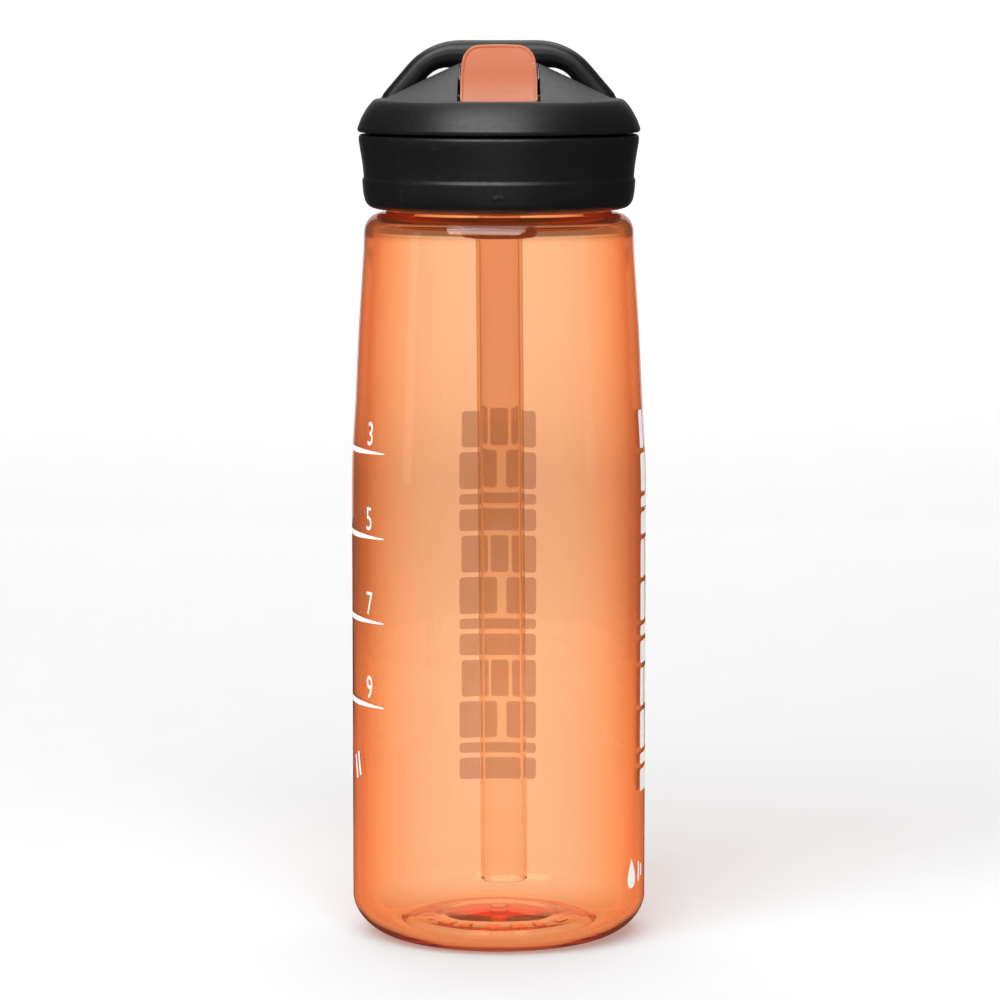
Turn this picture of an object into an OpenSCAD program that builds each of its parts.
// Flip-spout drinking bottle: clear one-piece body, screw lid with carry
// handle, fold-down bite-valve spout, straw with its adapter collar.
// Millimetres. Z up, origin at the centre of the standing ring.
// Heights in this file are measured from a datum plane that lies base_drop
// above the table, except those of the base, which are measured from the table.
// The spout points to -Y (front) and is stored folded down.

/* [Bottle] */
// Outside diameter of the straight barrel
body_d = 77; // [75.5:0.1:79]
// Side wall thickness
wall = 2.0; // [1.6:0.1:2.4]
// Height above the datum at which the barrel starts to taper in
barrel_top_z = 118; // [105:1:125]
// Outside diameter just under the shoulder
upper_d = 70.2; // [69:0.1:71.5]
// Outside diameter of the neck between its threads
neck_d = 58.4; // [58.2:0.1:58.6]
// Height of the pushed-up base above the standing ring
base_rise = 4.4; // [3.6:0.1:5.2]

/* [Thread] */
// Rise of the lid in one turn
pitch = 4.5; // [4.2:0.1:4.8]
// Length of the bottle thread in degrees
thread_len = 480; // [420:10:510]

/* [Lid] */
// Height above the datum of the visible seam between skirt and top cover
seam_z = 207.3; // [207.1:0.1:207.5]
// Height of the crest ring above the datum
crest_z = 216.45; // [216:0.05:217]
// Top of the carry handle above the datum
handle_top_z = 231.5; // [230.5:0.1:233]
// Front to back depth of the carry handle
handle_depth = 9; // [8:0.1:10]

/* [Spout] */
// Width of the bite valve
valve_w = 19.7; // [18.6:0.1:19.8]
// Radius of the hinge trunnions
trunnion_r = 2.0; // [1.8:0.05:2.2]

/* [Straw] */
// Outside diameter of the straw
straw_d = 12.2; // [11.4:0.1:12.3]
// Height of the straw's lower end above the datum
straw_end_z = 12.3; // [11.5:0.1:30]
// Outside diameter of the straw collar
collar_d = 19.7; // [18:0.1:21]

/* [Hidden] */
$fn = 96;

body_r = body_d / 2;
upper_r = upper_d / 2;
neck_r = neck_d / 2;
base_drop = 3.0;
ring_r = 27.3;
corner_h = 10;
bore_r = neck_r - 2.5;
shoulder_z = 187;
rim_z = 201.6;
deck_z = 203.2;
deck_t = 2.0;
skirt_in_r = 31.7;
thread_z0 = 192.0;
piv = [0, -7.5, 219.5];
spout_drop = 20;
barrel_r = 6.3;
tip_r = 22.6;
port_y = piv[1];
apex_z = 231.2;
cone_k = 0.5;
hy = 8.3;

// arc points from angle a0 to a1 about (cx, cz)
function arc(cx, cz, r, a0, a1, n) =
    [for (i = [0 : n]) let (a = a0 + (a1 - a0) * i / n) [cx + r * cos(a), cz + r * sin(a)]];

// rounded bottom corner, a little fuller at its ends than an ellipse, from the
// ring up to the barrel; rx, rz its radii, a0 the angle to start from
function corner(rx, rz, a0, n) =
    [for (i = [0 : n]) let (a = a0 * (1 - i / n))
        [ring_r + rx * pow(cos(a), 1.143), corner_h - rz * pow(sin(a), 1.143)]];

// heights from the table turned into heights from the datum
function low(pts) = [for (p = pts) p - [0, base_drop]];

module lift() {
    translate([0, 0, base_drop]) children();
}

// outer and inner side lines of the bottle
function taper(dr) = [
    [body_r - dr, barrel_top_z],
    [body_r - 0.25 - dr, barrel_top_z + 8],
    [body_r - 0.6 - dr, barrel_top_z + 14],
    [body_r - 1.0 - dr, barrel_top_z + 20],
    [body_r - 1.75 - dr, barrel_top_z + 36 * (181 - barrel_top_z) / 63],
    [body_r - 2.2 - dr, barrel_top_z + 43.5 * (181 - barrel_top_z) / 63],
    [body_r - 2.7 - dr, barrel_top_z + 51 * (181 - barrel_top_z) / 63],
    [upper_r + 0.15 - dr, 177.5]];

module tapered_outer() {
    rotate_extrude()
        polygon(concat(
            low([[0, base_rise - 0.9], [1.6, base_rise - 0.9], [2.4, base_rise], [6, base_rise - 0.1],
                 [14.4, base_rise - 0.8], [15.2, base_rise - 1.3], [21, base_rise - 1.9],
                 [23.4, base_rise - 2.7], [24.9, 0.8], [25.9, 0], [ring_r, 0]]),
            low(corner(body_r - ring_r, corner_h, 82, 14)),
            taper(0),
            arc(upper_r - 5, shoulder_z - 5, 5, 0, 90, 9),
            [[neck_r, shoulder_z], [neck_r, rim_z - 0.5], [neck_r - 0.5, rim_z], [0, rim_z]]));
}

module tapered_inner() {
    rotate_extrude()
        polygon(concat(
            low([[0, base_rise + 2.6], [3, base_rise + 2.5], [8, base_rise + 2.0], [15, base_rise + 0.9],
                 [16, base_rise + 0.5], [21, base_rise + 0.2], [23.4, base_rise - 0.4], [25.4, 2.9]]),
            low(corner(body_r - ring_r - wall, corner_h - wall - 0.3, 84, 14)),
            taper(wall),
            arc(upper_r - 5, shoulder_z - 5, 5 - wall, 0, 90, 6),
            [[bore_r + 0.6, shoulder_z - wall], [bore_r, shoulder_z - wall + 0.6],
             [bore_r, rim_z - 0.4], [bore_r + 0.4, rim_z + 0.1], [0, rim_z + 0.1]]));
}

// helical ridge of trapezoid section; a0..a1 in degrees, z rises pitch per turn
module ridge(r_root, r_crest, w_root, w_crest, z0, a0, a1) {
    st = 10;
    n = round((a1 - a0) / st);
    ramp = 30;
    pts = [for (i = [0 : n])
        let (a = a0 + (a1 - a0) * i / n,
             z = z0 + pitch * a / 360,
             t = min(1, 0.12 + 0.88 * min(a - a0, a1 - a) / ramp),
             rc = r_root + (r_crest - r_root) * t)
        for (p = [[r_root, -w_root / 2], [rc, -w_crest / 2], [rc, w_crest / 2], [r_root, w_root / 2]])
            [p[0] * cos(a), p[0] * sin(a), z + p[1]]];
    out = r_crest > r_root;
    side = [for (i = [0 : n - 1]) for (j = [0 : 3])
        let (a = 4 * i + j, b = 4 * i + (j + 1) % 4, c = b + 4, d = a + 4)
        for (f = [[a, b, c], [a, c, d]]) out ? f : [f[2], f[1], f[0]]];
    cap0 = [[0, 3, 2], [0, 2, 1]];
    cap1 = [[4 * n, 4 * n + 1, 4 * n + 2], [4 * n, 4 * n + 2, 4 * n + 3]];
    caps = [for (f = concat(cap0, cap1)) out ? f : [f[2], f[1], f[0]]];
    polyhedron(points = pts, faces = concat(side, caps), convexity = 8);
}

module bottle_body() {
    color([0.93, 0.55, 0.33, 0.6])
    lift()
    union() {
        difference() {
            tapered_outer();
            tapered_inner();
        }
        ridge(neck_r - 0.4, neck_r + 1.9, 3.0, 1.2, thread_z0, 0, thread_len);
    }
}

module main_gasket() {
    color([0.85, 0.85, 0.83])
    lift()
    rotate_extrude()
        polygon([[bore_r - 0.1, rim_z + 0.2], [bore_r - 0.3, rim_z + 0.7], [bore_r - 0.1, deck_z - 0.2],
                 [30.2, deck_z - 0.2], [30.6, deck_z - 0.6], [30.2, rim_z + 0.2]]);
}

module cap_skirt() {
    color([0.15, 0.15, 0.155])
    lift()
    union() {
        difference() {
            union() {
                rotate_extrude()
                    polygon([[skirt_in_r, 188.3], [32.0, 188.05], [32.9, 188.3], [33.7, 188.7],
                             [34.35, 189.3], [34.8, 190.1], [35.05, 191], [35.3, 192.3],
                             [35.45, 194], [35.55, 195.5], [35.45, 195.8], [35.15, 196.05],
                             [35.2, 197], [35.4, 199], [35.65, 200.8], [35.95, 202.6],
                             [36.25, 204.4], [36.42, 205.6], [36.45, 206.6], [36.3, seam_z - 0.3],
                             [36.0, seam_z], [33.4, seam_z], [33.4, deck_z + deck_t],
                             [0, deck_z + deck_t], [0, deck_z], [skirt_in_r, deck_z]]);
                // plug wall that centres the lid in the neck
                translate([0, 0, deck_z - 6.6])
                    difference() {
                        cylinder(r = bore_r - 0.5, h = 7);
                        translate([0, 0, -1]) cylinder(r = bore_r - 2.1, h = 9);
                    }
                // spigot for the straw collar and chimney for the spout
                translate([0, port_y, 192])
                    cylinder(r = 6.8, h = deck_z - 192 + 0.5);
                translate([0, port_y, deck_z + 1])
                    cylinder(r = 6.4, h = 7.0);
            }
            // liquid port
            translate([0, port_y, 190]) cylinder(r = 4.6, h = 24);
            // vent: centre hole for the valve stem, four air holes, relief on top
            translate([0, 14, deck_z - 1]) cylinder(r = 1.5, h = 5);
            for (a = [45 : 90 : 315])
                translate([3.3 * cos(a), 14 + 3.3 * sin(a), deck_z - 1]) cylinder(r = 0.8, h = 5);
            translate([0, 14, deck_z + deck_t - 0.6]) cylinder(r = 4.6, h = 2);
        }
        ridge(skirt_in_r + 0.5, neck_r + 0.55, 2.7, 1.0, thread_z0 - pitch / 2, 30, 390);
        // small raised arc on the front of the skirt, the closing mark
        translate([0, -35.0, 191.2]) rotate([90, 0, 0])
            linear_extrude(height = 0.45)
                polygon(concat(arc(0, 0, 1.5, 20, 160, 10), arc(0, 0, 0.95, 160, 20, 10)));
    }
}

// half-space y > line from (y0 at z 225.5) falling back to the well floor
module behind(off) {
    // front face of the well: leans back going down
    ang = atan(0.486);
    translate([0, -4 + off, 225.5]) rotate([ang, 0, 0])
        translate([-60, 0, -60]) cube([120, 120, 120]);
}

module cover_blank() {
    rotate_extrude()
        polygon([[31.4, deck_z + deck_t + 0.1], [33.3, deck_z + deck_t + 0.1], [33.3, seam_z + 0.6],
                 [36.4, seam_z + 0.6], [36.7, seam_z + 0.85], [36.8, seam_z + 1.2],
                 [36.78, seam_z + 1.6], [36.4, 209.9], [36.0, 211], [35.5, 212],
                 [34.95, 213], [34.3, 214.05], [33.6, 215.0], [32.95, 215.75],
                 [32.5, 216.15], [32.1, crest_z - 0.08], [31.6, crest_z],
                 [29.5, crest_z],
                 [0, apex_z],
                 [0, deck_z + deck_t + 0.1]]);
}

module cover_cavity() {
    rotate_extrude()
        polygon([[0, 200], [31.4, 200], [31.4, 208.4], [33.7, 210.2], [33.3, 211.4], [32.4, 213],
                 [31.3, 214.3], [29.6, 214.7], [28.4, crest_z - 1.9], [0, apex_z - 1.9 - 0.2]]);
}

module well(grow) {
    intersection() {
        behind(-grow);
        union() {
            translate([0, 0, 207 - grow])
                cylinder(r1 = 26.4 + grow, r2 = 29.3 + grow * 0.4, h = crest_z - 207 + grow + 0.01);
            translate([0, 0, crest_z - grow]) cylinder(r = 45, h = 30);
        }
        union() {
            translate([-22.6 - grow, -20, 190]) cube([45.2 + 2 * grow, 60, 60]);
            translate([-60, 14.8 - grow, 190]) cube([120, 60, 60]);
            translate([-60, -20, crest_z - grow]) cube([120, 60, 60]);
        }
    }
}

module slot_prism(w_low, w_top) {
    rotate([90, 0, 0])
        translate([0, 0, -10]) linear_extrude(height = 50)
            polygon([[-w_low, 208.2], [w_low, 208.2], [w_low, crest_z], [w_top, 226], [w_top, 236],
                     [-w_top, 236], [-w_top, 226], [-w_low, crest_z]]);
}

module slot_cut() {
    intersection() {
        slot_prism(10.5, 10.2);
        translate([0, 0, 200]) cylinder(r = 30.2, h = 40);
        union() {
            translate([-20, -40, 200]) cube([40, 39.6, 40]);
            translate([-20, -40, 215]) cube([40, 60, 40]);
        }
    }
}

// carry handle: rounded section swept along the arch
module handle_loop() {
    zt = handle_top_z;
    top = [for (t = [0 : 0.2 : 0.999]) [[10 * t, zt], [13.5 * t, zt - 7.2]]];
    bend = [for (a = [0 : 5.5 : 49.5]) [[10 + 18.2 * sin(a), zt - 18.2 + 18.2 * cos(a)],
                                        [13.5 + 6.6 * sin(a), zt - 13.8 + 6.6 * cos(a)]]];
    leg = [[[26.4, zt - 9.38], [20.2, zt - 11.5]],
           [[28.6, zt - 11.95], [21.7, zt - 13.3]],
           [[30.1, zt - 13.75], [22.9, zt - 14.9]],
           [[30.75, zt - 15.0], [23.6, zt - 16.2]],
           [[30.6, zt - 16.6], [24.2, zt - 17.4]]];
    half = concat(top, bend, leg);
    n = len(half);
    full = concat([for (i = [n - 1 : -1 : 1]) [[-half[i][0][0], half[i][0][1]], [-half[i][1][0], half[i][1][1]]]], half);
    m = len(full);
    k = 20;
    function se(c) = sign(c) * pow(abs(c), 0.72);
    pts = [for (i = [0 : m - 1]) let (o = full[i][0], q = full[i][1], c = (o + q) / 2, u = (o - q) / 2)
        for (j = [0 : k - 1]) let (a = 360 * j / k)
            [c[0] + u[0] * se(cos(a)), hy + handle_depth / 2 * se(sin(a)), c[1] + u[1] * se(cos(a))]];
    side = [for (i = [0 : m - 2]) for (j = [0 : k - 1])
        let (a = k * i + j, b = k * i + (j + 1) % k, c = b + k, d = a + k)
        for (f = [[a, b, c], [a, c, d]]) f];
    polyhedron(points = pts,
               faces = concat(side, [[for (j = [k - 1 : -1 : 0]) j], [for (j = [0 : k - 1]) k * (m - 1) + j]]),
               convexity = 6);
}

module cap_cover() {
    color([0.13, 0.13, 0.135])
    lift()
    union() {
        difference() {
            intersection() {
                cover_blank();
                union() {
                    difference() {
                        cover_blank();
                        cover_cavity();
                    }
                    well(1.8);
                    // cheeks either side of the spout, and the bay floor
                    for (s = [-1, 1]) translate([s * 12 - 1.9, -31.5, 205.3]) cube([3.8, 33, 26]);
                    translate([-12, -31.5, 206.4]) cube([24, 33, 1.8]);
                    // pads under the feet of the handle
                    for (s = [-1, 1]) translate([s * 27.2 - 5.2, 1.2, 207]) cube([10.4, 14.4, 12]);
                }
            }
            well(0);
            slot_cut();
            // hinge bores
            translate([-16, piv[1], piv[2]]) rotate([0, 90, 0]) cylinder(r = trunnion_r + 0.05, h = 32);
            // clearance for the chimney
            translate([0, port_y, 204]) cylinder(r = 6.7, h = 8);
            // air way to the vent valve
            translate([0, 14, 204]) cylinder(r = 2.7, h = 6);
        }
        handle_loop();
    }
}

module vent_valve() {
    color([0.88, 0.86, 0.82])
    lift()
    translate([0, 14, 0]) rotate_extrude()
        polygon([[0, deck_z - 1.3], [2.2, deck_z - 1.25], [4.6, deck_z - 0.75], [5.0, deck_z - 0.35],
                 [4.8, deck_z - 0.2], [1.3, deck_z - 0.2], [1.3, deck_z + deck_t - 0.45],
                 [2.1, deck_z + deck_t - 0.35], [1.9, deck_z + deck_t + 0.5],
                 [1.2, deck_z + deck_t + 1.3], [0, deck_z + deck_t + 1.55]]);
}

module port_seal() {
    color([0.88, 0.86, 0.82])
    lift()
    difference() {
        translate([0, port_y, deck_z])
            rotate_extrude()
                polygon([[4.0, 8.1], [6.3, 8.1], [6.3, 9.1], [5.2, 9.65], [4.7, 10.15], [4.2, 10.45],
                         [3.7, 10.55], [3.6, 10.4], [3.6, 8.8]]);
        translate([-10, piv[1], piv[2]]) rotate([0, 90, 0]) cylinder(r = barrel_r + 0.15, h = 20);
    }
}

// everything on the spout is drawn along +Z from the pivot, then laid down
module laid() {
    translate(piv) rotate([90 + spout_drop, 0, 0]) children();
}

module spout_stem() {
    color([0.16, 0.16, 0.165])
    lift()
    laid() difference() {
        union() {
            rotate([0, 90, 0]) cylinder(r = barrel_r, h = 20.3, center = true);
            rotate([0, 90, 0]) cylinder(r = trunnion_r, h = 25.4, center = true);
            cylinder(r = 3.9, h = 12.5);
            translate([0, 0, 9.4]) cylinder(r1 = 4.35, r2 = 3.95, h = 2.0);
        }
        translate([0, 0, -8]) cylinder(r = 2.6, h = 24);
    }
}

// side outline of the bite valve in the lid's own axes (y, z), spout folded
valve_top = [[-28.9, 216.65], [-27.3, 217.15], [-25.2, 217.95], [-23, 218.95],
             [-20.8, 220.2], [-18.8, 221.65], [-16.9, 223.35], [-15.2, 225.25],
             [-13.8, 227.2], [-12.7, 229.0], [-11.9, 230.45]];

module valve_side() {
    polygon(concat(
        [[-29.86, 216.3]],
        valve_top,
        [[-11.3, 230.75], [-10.3, 230.75], [-9.6, 230.3], [-8.9, 228.6], [-8.3, 227.6], [-6.9, 227.3]],
        arc(piv[1], piv[2], barrel_r + 0.15, 84, 200, 12),
        [[-14.5, 214.9], [-15.0, 212.2], [-16.2, 210.4], [-18, 209.4], [-20, 209.05], [-26.4, 209.0]],
        arc(piv[1], piv[2], tip_r, 208.5, 189.5, 8)));
}

module valve_front(w, zt, r) {
    polygon(concat([[-w, 200], [w, 200], [w, 222]],
                   arc(w - 0.35 - r, zt - r, r, 6, 84, 8),
                   [[0, zt + 0.15]],
                   arc(-w + 0.35 + r, zt - r, r, 96, 174, 8),
                   [[-w, 222]]));
}

module bite_valve() {
    color([0.93, 0.6, 0.44])
    lift()
    difference() {
        intersection() {
            rotate([90, 0, 90]) translate([0, 0, -12]) linear_extrude(height = 24) valve_side();
            rotate([90, 0, 0]) translate([0, 0, 0]) linear_extrude(height = 40) valve_front(valve_w / 2, 230.55, 4.8);
            translate([0, 0, 200]) cylinder(r = 29.85, h = 40);
            // crowned about the hinge, so the corners of the tip clear the slot as it swings
            translate(piv) rotate([0, 90, 0])
                rotate_extrude()
                    polygon(concat([[0, -10.4]],
                                   [for (x = [-10.4 : 1.3 : 10.4]) [sqrt(30.2 * 30.2 - x * x) + piv[1] - 0.4, x]],
                                   [[0, 10.4]]));
        }
        // shallow dish in the thumb face, leaving a raised rim
        intersection() {
            rotate([90, 0, 90]) translate([0, 0, -12]) linear_extrude(height = 24)
                polygon(concat([[-33, 215.2]], [for (p = valve_top) p + [0.2, -0.25]],
                               [[-11.2, 233], [-33, 233]]));
            rotate([90, 0, 0]) linear_extrude(height = 40) valve_front(valve_w / 2 - 0.6, 229.95, 4.3);
        }
        laid() {
            // socket over the stem, mouth chamber, drinking slit
            translate([0, 0, 5]) cylinder(r = 4.0, h = 7.7);
            translate([0, 0, 9.3]) cylinder(r = 4.45, h = 2.2);
            translate([0, 0, 12.6]) cylinder(r1 = 3.7, r2 = 2.4, h = 8.0);
            translate([-3.6, -0.18, 18]) cube([7.2, 0.36, 8]);
        }
    }
}

module straw_collar() {
    color([0.95, 0.68, 0.52])
    lift()
    translate([0, port_y, 0]) rotate_extrude()
        polygon([[straw_d / 2 + 0.1, 180.9], [collar_d / 2 - 1.0, 180.9], [collar_d / 2, 182.2],
                 [collar_d / 2, 195.5], [collar_d / 2 - 0.8, 196.1], [collar_d / 2 - 0.8, 201.6],
                 [collar_d / 2 - 1.3, 202.2], [6.9, 202.2], [6.9, 191.8], [5.0, 191.8],
                 [5.0, 190.6], [straw_d / 2 + 0.1, 190.6]]);
}

module straw() {
    color([0.93, 0.58, 0.36, 0.8])
    lift()
    translate([0, port_y, 190.3]) rotate([0, -0.45, 0])
        difference() {
            translate([0, 0, straw_end_z - 190.3]) cylinder(d = straw_d - 0.12, h = 190.2 - straw_end_z);
            translate([0, 0, -200]) cylinder(d = straw_d - 2.2, h = 210);
        }
}

bottle_body();
main_gasket();
cap_skirt();
cap_cover();
vent_valve();
port_seal();
spout_stem();
bite_valve();
straw_collar();
straw();
